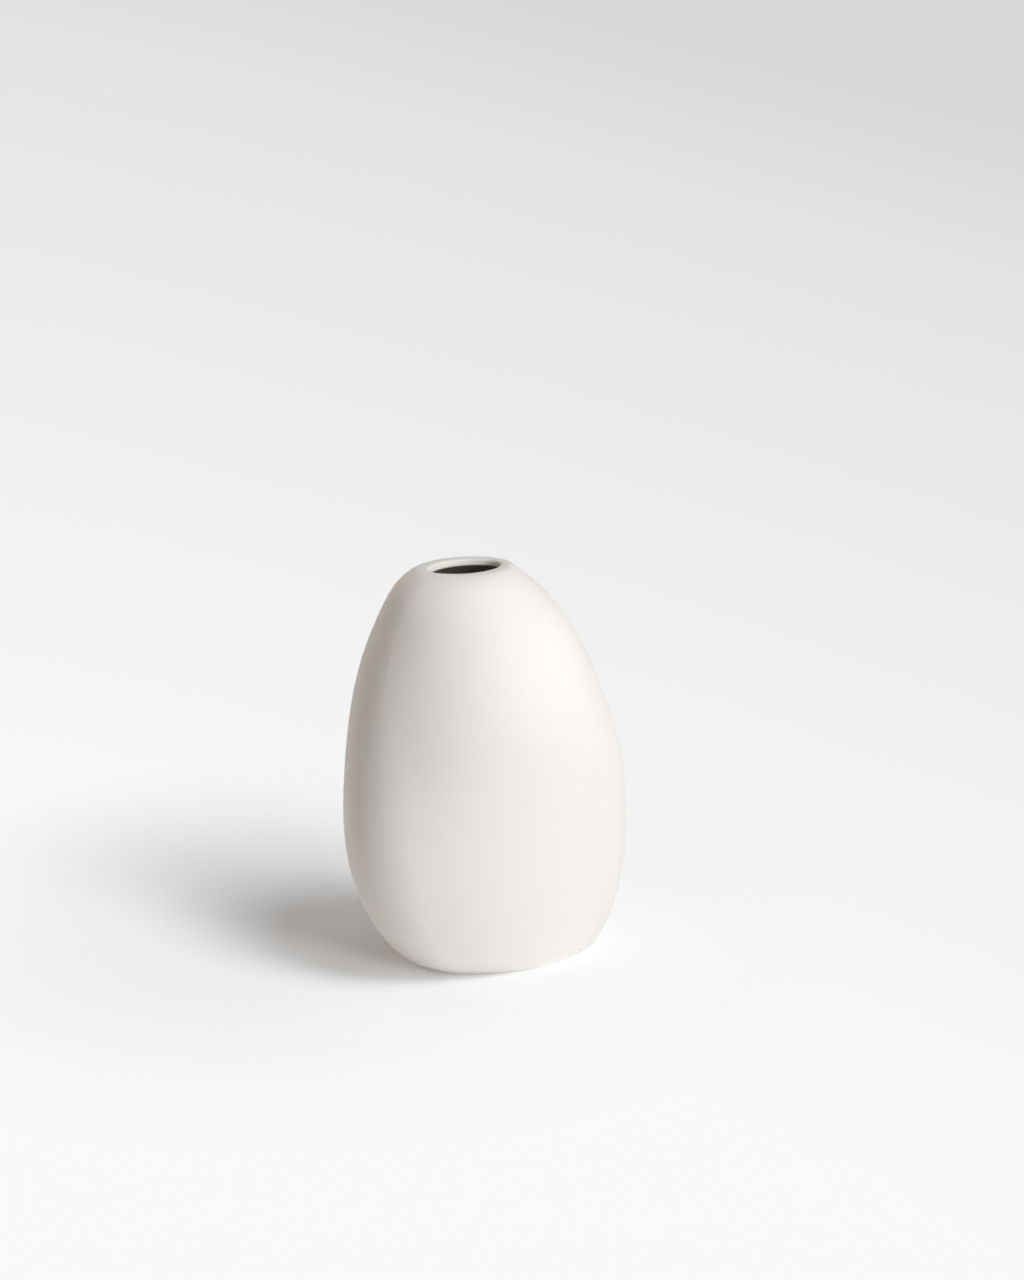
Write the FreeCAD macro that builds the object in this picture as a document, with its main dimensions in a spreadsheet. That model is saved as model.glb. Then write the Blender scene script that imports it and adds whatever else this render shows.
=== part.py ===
import FreeCAD, Part
import Sketcher
import os
from collections import namedtuple
from math import atan2, pi

# Pillow vase: a cast porcelain shell that leans a little over its foot, with an
# oval mouth and a recessed underside, lined with a clear glaze. Millimetres, +Z up.
# X runs along the long side. The origin is on the floor, under the middle of the vase.

SIZES = {
    # Whole vase
    "vase_height": 140,
    "belly_length": 105,
    "belly_depth": 76,
    # Mouth and lip, set off the middle towards -X
    "mouth_length": 25.5,
    "mouth_depth": 17.5,
    "mouth_shift": 8.5,
    "lip_width": 4,
    "lip_outer_round": 3,
    "lip_inner_round": 1.2,
    "throat_depth": 2.1,
    # Foot, set off the middle towards +X
    "foot_length": 60,
    "foot_depth": 38,
    "foot_shift": 9,
    "foot_ring_width": 5,
    "foot_recess_depth": 1.5,
    "foot_ring_round": 0.6,
    # Shell and lining
    "wall_thickness": 3.2,
    "floor_thickness": 4.7,
    "glaze_thickness": 0.3,
    "glaze_collar_height": 0.4,
}

# Every section is an oval of four arcs. Its two ends have this share of its half
# depth as their radius, so its two broad faces are flatter than those of an ellipse.
END_RADIUS_SHARE = 0.72

# Sections between the ends and the belly: height as a share of the vase height, then
# how far the left reach, the right reach and the half depth have grown on the way
# from the nearer end, foot or lip, to the belly.
FOOT_SECTION_SHARES = (
    (0.017, 0.21, 0.27, 0.08),
    (0.054, 0.43, 0.52, 0.22),
    (0.132, 0.69, 0.81, 0.42),
    (0.254, 0.92, 1.00, 0.63),
    (0.386, 1.00, 0.96, 0.79),
)
LIP_SECTION_SHARES = (
    (0.532, 0.96, 0.91, 0.95),
    (0.668, 0.86, 0.75, 1.00),
    (0.786, 0.68, 0.57, 0.89),
    (0.879, 0.48, 0.39, 0.67),
    (0.946, 0.33, 0.20, 0.39),
    (0.986, 0.14, 0.05, 0.16),
)

# Two points closer than this are the same point.
SAME_PLACE = 0.001

doc = FreeCAD.newDocument("pillow_vase")
sheet = doc.addObject("Spreadsheet::Sheet", "sizes")
for row, (name, size) in enumerate(SIZES.items(), start=1):
    sheet.set(f"A{row}", name)
    sheet.set(f"B{row}", str(size))
    sheet.setAlias(f"B{row}", name)
doc.recompute()


def value(expression):
    return float(sheet.evalExpression(expression))


# A section holds expressions on the sheet: its height, its reach from the origin to
# the left (-X) and to the right (+X), and its half depth.
Section = namedtuple("Section", "height left right half_depth")


def centred(height, length, shift, depth):
    left = f"({length} / 2 - {shift})"
    right = f"({length} / 2 + {shift})"
    return Section(height, left, right, f"({depth} / 2)")


def widened(section, step):
    reaches = [f"({reach} + {step})" for reach in section[1:]]
    return Section(section.height, *reaches)


def grown(end, belly, shares):
    height = f"({shares[0]} * sizes.vase_height)"
    reaches = []
    for start, full, share in zip(end[1:], belly[1:], shares[1:]):
        reaches.append(f"({start} + {share} * ({full} - {start}))")
    return Section(height, *reaches)


# The thickness is measured square to the wall, so a sloping wall takes a wider step.
def inset(below, here, above, thickness):
    rise = f"({above.height} - {below.height})"
    reaches = []
    for low, reach, high in zip(below[1:], here[1:], above[1:]):
        slope = f"(({high} - {low}) / {rise})"
        reaches.append(f"({reach} - {thickness} * sqrt(1 + {slope} ^ 2))")
    return Section(here.height, *reaches)


belly = centred("0", "sizes.belly_length", "0", "sizes.belly_depth")
foot = centred("0", "sizes.foot_length", "sizes.foot_shift", "sizes.foot_depth")
mouth = centred("sizes.vase_height", "sizes.mouth_length", "-sizes.mouth_shift", "sizes.mouth_depth")
lip = widened(mouth, "sizes.lip_width")
throat = mouth._replace(height="(sizes.vase_height - sizes.throat_depth)")
floor = widened(foot, "-sizes.wall_thickness")._replace(height="sizes.floor_thickness")
foot_recess = widened(foot, "-sizes.foot_ring_width")

lined_wall = "(sizes.wall_thickness + sizes.glaze_thickness)"
lined_floor = widened(floor, "-sizes.glaze_thickness")
lined_floor = lined_floor._replace(height="(sizes.floor_thickness + sizes.glaze_thickness)")
lined_throat = widened(throat, "-sizes.glaze_thickness")
collar_top = lined_throat._replace(height=f"({throat.height} + sizes.glaze_collar_height)")

outside = [foot]
outside += [grown(foot, belly, shares) for shares in FOOT_SECTION_SHARES]
outside += [grown(lip, belly, shares) for shares in LIP_SECTION_SHARES]
outside += [lip]


# The hollow runs from its floor to its throat, and follows all the outside sections
# but the two nearest the foot and the two nearest the lip.
def hollow(thickness, bottom, top):
    between = [inset(*outside[place - 1 : place + 2], thickness) for place in range(2, len(outside) - 2)]
    return [bottom, *between, top]


# The arcs of a section's oval: right end, back face, left end, front face.
def oval_arcs(section):
    left, right, half_depth = (value(reach) for reach in section[1:])
    end_radius = END_RADIUS_SHARE * half_depth
    middle = (right - left) / 2
    end_offset = (right + left) / 2 - end_radius
    spare_depth = half_depth - end_radius
    face_offset = (end_offset**2 - spare_depth**2) / (2 * spare_depth)
    turn = atan2(face_offset, end_offset)

    def arc(centre_x, centre_y, radius, start, end):
        centre = FreeCAD.Vector(centre_x, centre_y, 0)
        circle = Part.Circle(centre, FreeCAD.Vector(0, 0, 1), radius)
        return Part.ArcOfCircle(circle, start, end)

    return [
        arc(middle + end_offset, 0, end_radius, -turn, turn),
        arc(middle, -face_offset, half_depth + face_offset, turn, pi - turn),
        arc(middle - end_offset, 0, end_radius, pi - turn, pi + turn),
        arc(middle, face_offset, half_depth + face_offset, pi + turn, -turn),
    ]


def oval_sketch(body, name, section):
    def constrain(*parts):
        return sketch.addConstraint(Sketcher.Constraint(*parts))

    def bind(label, expression, kind, *parts):
        number = constrain(kind, *parts, value(expression))
        sketch.renameConstraint(number, label)
        sketch.setExpression(f"Constraints.{label}", expression)

    plane = next(part for part in body.Origin.OriginFeatures if part.Role == "XY_Plane")
    sketch = body.newObject("Sketcher::SketchObject", name)
    sketch.AttachmentSupport = [(plane, "")]
    sketch.MapMode = "FlatFace"
    sketch.setExpression("AttachmentOffset.Base.z", section.height)

    ring = [sketch.addGeometry(arc) for arc in oval_arcs(section)]
    right_end, back_face, left_end, front_face = ring
    middle = (value(section.right) - value(section.left)) / 2
    line_start = FreeCAD.Vector(middle, 0, 0)
    line_end = FreeCAD.Vector(middle, value(section.half_depth), 0)
    depth_line = sketch.addGeometry(Part.LineSegment(line_start, line_end), True)

    # The ends of an arc or line are its points 1 and 2, and an arc's centre is point 3.
    x_axis = -1
    origin = (-1, 1)
    for first, second in zip(ring, ring[1:] + ring[:1]):
        constrain("Tangent", first, 2, second, 1)
    constrain("Equal", right_end, left_end)
    constrain("Equal", back_face, front_face)
    constrain("PointOnObject", right_end, 3, x_axis)
    constrain("PointOnObject", left_end, 3, x_axis)
    constrain("PointOnObject", depth_line, 1, x_axis)
    constrain("PointOnObject", depth_line, 2, back_face)
    constrain("PointOnObject", back_face, 3, depth_line)
    constrain("Vertical", depth_line)
    radius_text = f"({END_RADIUS_SHARE} * {section.half_depth})"
    bind("end_radius", radius_text, "Radius", right_end)
    bind("half_depth", section.half_depth, "DistanceY", depth_line, 1, depth_line, 2)
    bind("left_end", f"({section.left} - {radius_text})", "DistanceX", left_end, 3, *origin)
    bind("right_end", f"({section.right} - {radius_text})", "DistanceX", *origin, right_end, 3)
    return sketch


def loft(body, kind, name, sections):
    sketches = [oval_sketch(body, f"{name}_section_{n}", s) for n, s in enumerate(sections)]
    feature = body.newObject(f"PartDesign::{kind}Loft", name)
    feature.Profile = sketches[0]
    feature.Sections = sketches[1:]
    doc.recompute()
    return feature


def pocket(body, name, section, depth, upwards=False):
    sketch = oval_sketch(body, f"{name}_outline", section)
    feature = body.newObject("PartDesign::Pocket", name)
    feature.Profile = sketch
    feature.Reversed = upwards
    feature.setExpression("Length", depth)
    doc.recompute()
    return feature


# Rounds the edges of a feature that run round the section's outline.
def round_rim(body, name, feature, section, radius):
    rise = FreeCAD.Vector(0, 0, value(section.height))
    joins = [arc.StartPoint + rise for arc in oval_arcs(section)]
    edges = []
    for number, edge in enumerate(feature.Shape.Edges, start=1):
        ends = [vertex.Point for vertex in edge.Vertexes]
        if all(any(end.isEqual(join, SAME_PLACE) for join in joins) for end in ends):
            edges.append(f"Edge{number}")
    fillet = body.newObject("PartDesign::Fillet", name)
    fillet.Base = (feature, edges)
    fillet.setExpression("Radius", radius)
    doc.recompute()
    return fillet


def vase_body():
    body = doc.addObject("PartDesign::Body", "vase_body")
    loft(body, "Additive", "outer_form", outside)
    loft(body, "Subtractive", "hollow", hollow("sizes.wall_thickness", floor, throat))
    pocket(body, "mouth", mouth, "sizes.throat_depth")
    recess = pocket(body, "foot_recess", foot_recess, "sizes.foot_recess_depth", upwards=True)
    ring = round_rim(body, "soft_foot_ring", recess, foot_recess, "sizes.foot_ring_round")
    soft_mouth = round_rim(body, "soft_mouth", ring, mouth, "sizes.lip_inner_round")
    round_rim(body, "soft_lip", soft_mouth, lip, "sizes.lip_outer_round")
    return body


# The lining lies on the whole inside wall and ends in the throat, below the lip.
def inside_glaze():
    body = doc.addObject("PartDesign::Body", "inside_glaze")
    loft(body, "Additive", "coated_wall", hollow("sizes.wall_thickness", floor, throat))
    collar = body.newObject("PartDesign::Pad", "throat_collar")
    collar.Profile = oval_sketch(body, "throat_collar_outline", throat)
    collar.setExpression("Length", "sizes.glaze_collar_height")
    doc.recompute()
    loft(body, "Subtractive", "lined_hollow", hollow(lined_wall, lined_floor, lined_throat))
    pocket(body, "collar_bore", collar_top, "sizes.glaze_collar_height")
    return body


parts = (vase_body(), inside_glaze())
doc.recompute()
for item in doc.Objects:
    if {"Invalid", "Error"} & set(item.State):
        raise RuntimeError(f"{item.Name} failed: {item.State}")
os.makedirs("parts", exist_ok=True)
for part in parts:
    if part.Shape.isNull() or not part.Shape.isValid():
        raise RuntimeError(f"{part.Label} has no valid shape")
    part.Shape.exportStep(f"parts/{part.Label}.step")
    print(part.Label, "volume", round(part.Shape.Volume), "mm3")
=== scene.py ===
# Pillow vase in bisque porcelain. Metres, +Z up, X along the long side of the vase.
import math

import bpy
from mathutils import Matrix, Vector

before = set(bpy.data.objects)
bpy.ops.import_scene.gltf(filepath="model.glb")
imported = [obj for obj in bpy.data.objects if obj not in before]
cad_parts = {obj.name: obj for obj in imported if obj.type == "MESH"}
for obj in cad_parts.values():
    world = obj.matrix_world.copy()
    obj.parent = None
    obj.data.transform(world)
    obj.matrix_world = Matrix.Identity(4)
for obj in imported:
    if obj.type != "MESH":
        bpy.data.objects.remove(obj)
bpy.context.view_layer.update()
scene = bpy.context.scene
up = Vector((0, 0, 1))
print("frame loaded:", ", ".join(sorted(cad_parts)))


def linearColor(hexCode):
    channels = [int(hexCode[place : place + 2], 16) / 255 for place in (1, 3, 5)]
    linear = [c / 12.92 if c <= 0.04045 else ((c + 0.055) / 1.055) ** 2.4 for c in channels]
    return (*linear, 1.0)


# Adds a node. A socket given for an input is linked to it, anything else is its value.
def addNode(tree, kind, inputs=None, **settings):
    node = tree.nodes.new("ShaderNode" + kind)
    for name, setting in settings.items():
        setattr(node, name, setting)
    for name, value in (inputs or {}).items():
        if isinstance(value, bpy.types.NodeSocket):
            tree.links.new(value, node.inputs[name])
        else:
            node.inputs[name].default_value = value
    return node


def newMaterial(name):
    material = bpy.data.materials.new(name)
    material.use_nodes = True
    material.node_tree.nodes.clear()
    return material, material.node_tree


# Bisque porcelain: fired without glaze and rubbed smooth, so it is chalky white with no
# gloss. Near to, it has the fine tooth of bare clay and the faint waviness of a casting.
bisque = {
    "color": "#F3F0EC",
    "cloudColor": "#F1EDE8",
    "cloudSize": 30,  # mm
    "roughness": 0.82,
    "ior": 1.5,
    "toothSize": 0.5,  # mm, coarser than the real 0.1 mm so that it shows
    "toothDepth": 0.02,  # mm
    "wavesSize": 22,  # mm
    "wavesDepth": 0.22,  # mm
}


def bisquePorcelain():
    material, tree = newMaterial("bisque porcelain, rubbed")
    place = addNode(tree, "TexCoord").outputs["Object"]
    clouds = addNode(
        tree, "TexNoise", {"Vector": place, "Scale": 1000 / bisque["cloudSize"], "Detail": 3}
    )
    # A Mix node's colours are its inputs 6 and 7 and its output 2.
    color = addNode(
        tree,
        "Mix",
        {
            0: clouds.outputs["Fac"],
            6: linearColor(bisque["color"]),
            7: linearColor(bisque["cloudColor"]),
        },
        data_type="RGBA",
    )
    tooth = addNode(
        tree, "TexNoise", {"Vector": place, "Scale": 1000 / bisque["toothSize"], "Detail": 2}
    )
    waves = addNode(
        tree, "TexNoise", {"Vector": place, "Scale": 1000 / bisque["wavesSize"], "Detail": 1}
    )
    softBump = addNode(
        tree,
        "Bump",
        {"Height": waves.outputs["Fac"], "Distance": bisque["wavesDepth"] / 1000},
    )
    fineBump = addNode(
        tree,
        "Bump",
        {
            "Height": tooth.outputs["Fac"],
            "Distance": bisque["toothDepth"] / 1000,
            "Normal": softBump.outputs[0],
        },
    )
    shader = addNode(
        tree,
        "BsdfPrincipled",
        {
            "Base Color": color.outputs[2],
            "Roughness": bisque["roughness"],
            "IOR": bisque["ior"],
            "Normal": fineBump.outputs[0],
        },
    )
    addNode(tree, "OutputMaterial", {"Surface": shader.outputs[0]})
    return material


# Clear glaze over porcelain, fired: wet-looking and smooth, with a faint orange peel.
glaze = {
    "color": "#EAE2D6",
    "roughness": 0.12,
    "ior": 1.52,
    "peelSize": 6,  # mm
    "peelDepth": 0.03,  # mm
}


def clearGlaze():
    material, tree = newMaterial("clear glaze on porcelain")
    place = addNode(tree, "TexCoord").outputs["Object"]
    peel = addNode(
        tree, "TexNoise", {"Vector": place, "Scale": 1000 / glaze["peelSize"], "Detail": 1}
    )
    bump = addNode(
        tree, "Bump", {"Height": peel.outputs["Fac"], "Distance": glaze["peelDepth"] / 1000}
    )
    shader = addNode(
        tree,
        "BsdfPrincipled",
        {
            "Base Color": linearColor(glaze["color"]),
            "Roughness": glaze["roughness"],
            "IOR": glaze["ior"],
            "Normal": bump.outputs[0],
        },
    )
    addNode(tree, "OutputMaterial", {"Surface": shader.outputs[0]})
    return material


finishes = {"vase_body": bisquePorcelain(), "inside_glaze": clearGlaze()}
for nodeName, material in finishes.items():
    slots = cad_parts[nodeName].data.materials
    slots.clear()
    slots.append(material)
print("porcelain and glaze done")

# The photograph's view: the vase's long side is turned by the azimuth, its near end left.
view = {
    "azimuth": 32,
    "elevation": 17.65,  # degrees, as the azimuth is
    "distance": 1.029,  # m
    "middle": Vector((0, 0, 0.07)),  # m, the middle of the vase
    "middlePixel": (487.1, 762.5),  # where the picture shows it
    "picture": (1024, 1280),
    "lens": 85,  # mm
    "film": 36,  # mm, along the picture's height
}

# Level directions: away from the camera and to its right.
turn = math.radians(view["azimuth"])
away = Vector((math.sin(turn), math.cos(turn), 0))
right = Vector((math.cos(turn), -math.sin(turn), 0))


def photoCamera():
    rise = math.radians(view["elevation"])
    width, height = view["picture"]
    pixelsPerUnit = view["lens"] / view["film"] * height
    tilt = rise - math.atan((view["middlePixel"][1] - height / 2) / pixelsPerUnit)
    look = away * math.cos(tilt) - up * math.sin(tilt)
    spot = view["middle"] + view["distance"] * (up * math.sin(rise) - away * math.cos(rise))
    depth = (view["middle"] - spot).dot(look)
    spot -= right * ((view["middlePixel"][0] - width / 2) / pixelsPerUnit * depth)
    data = bpy.data.cameras.new("photo camera")
    data.lens = view["lens"]
    data.sensor_width = view["film"]
    camera = bpy.data.objects.new("photo camera", data)
    scene.collection.objects.link(camera)
    camera.location = spot
    camera.rotation_euler = (math.pi / 2 - tilt, 0, -turn)
    scene.camera = camera


photoCamera()
print("camera done")

# Matt white paint under the vase, so it takes the shadow. Further out it turns into a pale
# sweep that only the view and reflections see, with a painted pool of light a little in front of
# the vase and painted shade to the right and far off.
sweep = {
    "size": 24,  # m
    "color": "#F6F7F8",  # of the paint
    "roughness": 0.5,
    "haze": (0.05, 0.18),  # painted white light seen over the paint, lifting its shadow: at the foot, where less of it paints a darker contact shade, and further out
    "hazeEnds": (0.012, 0.075),  # m from under the vase's middle, where its growth starts and ends
    "paintMiddle": (-0.06, 0.035),  # m to the camera's right and away from it, in the shadow
    "paintEnds": (0.03, 0.20),  # m from there, where the paint's fading starts and ends
    "pool": 0.45,  # m from the vase to the middle of the painted light pool
    "lean": 0.6,  # how much darker the painted shade makes the sweep on the right than on the left
    "leanReach": 2,  # m to either side, over which that levels off
    "farEnds": (6.6, 8.8),  # m from the pool, where the sweep turns into the air's colour
    # Colours of the sweep, each at a share of the way from the pool to far off, darker further out
    # as painted shade.
    "stops": (
        (0.28, "#F9F9F9"),
        (0.48, "#F1F1F1"),
        (0.65, "#E8E8E8"),
        (0.75, "#E4E4E4"),
        (0.86, "#D7D7D7"),
    ),
}


# The share of light seen by the view and by reflections, but not by bounced light.
def viewShare(tree):
    path = addNode(tree, "LightPath").outputs
    share = path["Is Camera Ray"]
    for kind in ("Is Glossy Ray", "Is Transmission Ray"):
        share = addNode(tree, "Math", {0: share, 1: path[kind]}, operation="MAXIMUM").outputs[0]
    return share


def paleFloor():
    bpy.ops.mesh.primitive_plane_add(size=sweep["size"])
    floor = bpy.context.object
    floor.name = "paleFloor"
    material, tree = newMaterial("matt white floor paint")
    place = addNode(tree, "TexCoord").outputs["Object"]
    seen = viewShare(tree)

    # How far the paint has turned into the sweep.
    middle = right * sweep["paintMiddle"][0] + away * sweep["paintMiddle"][1]
    fromMiddle = addNode(
        tree, "VectorMath", {0: place, 1: middle}, operation="DISTANCE"
    ).outputs["Value"]
    start, end = sweep["paintEnds"]
    fade = addNode(
        tree,
        "MapRange",
        {"Value": fromMiddle, "From Min": start, "From Max": end},
        interpolation_type="SMOOTHSTEP",
    ).outputs[0]
    fade = addNode(tree, "Math", {0: fade, 1: seen}, operation="MULTIPLY").outputs[0]

    # Distance from the pool's middle as a share that nears 1 far away, less to the left. This
    # paints the light pool and the shade around it.
    fromPool = addNode(
        tree, "VectorMath", {0: place, 1: away * sweep["pool"]}, operation="ADD"
    ).outputs[0]
    distance = addNode(tree, "VectorMath", {0: fromPool}, operation="LENGTH").outputs["Value"]
    reach = sweep["leanReach"]
    aside = addNode(
        tree, "VectorMath", {0: fromPool, 1: right / reach}, operation="DOT_PRODUCT"
    ).outputs["Value"]
    aside = addNode(tree, "Math", {0: aside}, operation="TANH").outputs[0]
    top = addNode(
        tree, "Math", {0: aside, 1: sweep["lean"] * reach, 2: distance}, operation="MULTIPLY_ADD"
    ).outputs[0]
    bottom = addNode(tree, "Math", {0: distance, 1: 1}, operation="ADD").outputs[0]
    share = addNode(tree, "Math", {0: top, 1: bottom}, operation="DIVIDE").outputs[0]
    start, end = sweep["farEnds"]
    farShare = addNode(
        tree,
        "MapRange",
        {"Value": distance, "From Min": start, "From Max": end},
        interpolation_type="SMOOTHSTEP",
    ).outputs[0]
    share = addNode(tree, "Math", {0: share, 1: farShare}, operation="MAXIMUM").outputs[0]
    ramp = addNode(tree, "ValToRGB", {"Fac": share})
    stops = ramp.color_ramp.elements
    while len(stops) < len(sweep["stops"]):
        stops.new(0.5)
    for stop, (position, color) in zip(stops, sweep["stops"], strict=True):
        stop.position = position
        stop.color = linearColor(color)

    # The painted haze over the paint is thinner by the foot, which paints a darker contact shade
    # there.
    fromFoot = addNode(tree, "VectorMath", {0: place}, operation="LENGTH").outputs["Value"]
    start, end = sweep["hazeEnds"]
    least, most = sweep["haze"]
    hazeLevel = addNode(
        tree,
        "MapRange",
        {"Value": fromFoot, "From Min": start, "From Max": end, "To Min": least, "To Max": most},
        interpolation_type="SMOOTHSTEP",
    ).outputs[0]
    hazeLevel = addNode(tree, "Math", {0: hazeLevel, 1: seen}, operation="MULTIPLY").outputs[0]
    haze = addNode(tree, "Emission", {"Strength": hazeLevel}).outputs[0]

    paint = addNode(
        tree,
        "BsdfDiffuse",
        {"Color": linearColor(sweep["color"]), "Roughness": sweep["roughness"]},
    ).outputs[0]
    near = addNode(tree, "AddShader", {0: paint, 1: haze}).outputs[0]
    far = addNode(tree, "Emission", {"Color": ramp.outputs[0]}).outputs[0]
    mixed = addNode(tree, "MixShader", {0: fade, 1: near, 2: far}).outputs[0]
    addNode(tree, "OutputMaterial", {"Surface": mixed})
    floor.data.materials.append(material)


paleFloor()
print("floor done")

# Softboxes: degrees to the right of the camera's side, degrees up, watts, m wide, colour.
lampDistance = 4  # m
lamps = {
    "high key": (55, 60, 60.5, 1.5, "#FFFFFF"),
    "key": (50, 40, 23.4, 1.5, "#FFFFFF"),
    "low front": (42, 10, 77, 1.5, "#FFFFFF"),
    "right side": (115, 45, 16, 4, "#EAF3FF"),
    "back fill": (-150, 20, 32, 2.4, "#FFF3E6"),
    "low left fill": (-100, 10, 27, 1.5, "#FFE9D6"),
}


def softbox(name, side, rise, watts, width, color):
    swing = math.radians(side)
    lift = math.radians(rise)
    level = right * math.sin(swing) - away * math.cos(swing)
    toLamp = level * math.cos(lift) + up * math.sin(lift)
    data = bpy.data.lights.new(name, "AREA")
    data.shape = "DISK"
    data.size = width
    data.energy = watts
    data.color = linearColor(color)[:3]
    light = bpy.data.objects.new(name, data)
    scene.collection.objects.link(light)
    light.location = view["middle"] + toLamp * lampDistance
    light.rotation_euler = (-toLamp).to_track_quat("-Z", "Y").to_euler()
    light.visible_camera = False


for name, settings in lamps.items():
    softbox(name, *settings)

# The air gives a little warm light, and shows as the end of the sweep.
air = {"color": "#FFF4E6", "strength": 0.01, "seen": "#D7D7D7"}


def studioAir():
    world = bpy.data.worlds.new("studio air")
    world.use_nodes = True
    tree = world.node_tree
    tree.nodes.clear()
    light = addNode(
        tree, "Background", {"Color": linearColor(air["color"]), "Strength": air["strength"]}
    ).outputs[0]
    seen = addNode(tree, "Background", {"Color": linearColor(air["seen"])}).outputs[0]
    mixed = addNode(tree, "MixShader", {0: viewShare(tree), 1: light, 2: seen}).outputs[0]
    addNode(tree, "OutputWorld", {"Surface": mixed})
    scene.world = world


studioAir()
scene.view_settings.view_transform = "Standard"
print("lamps and air done")
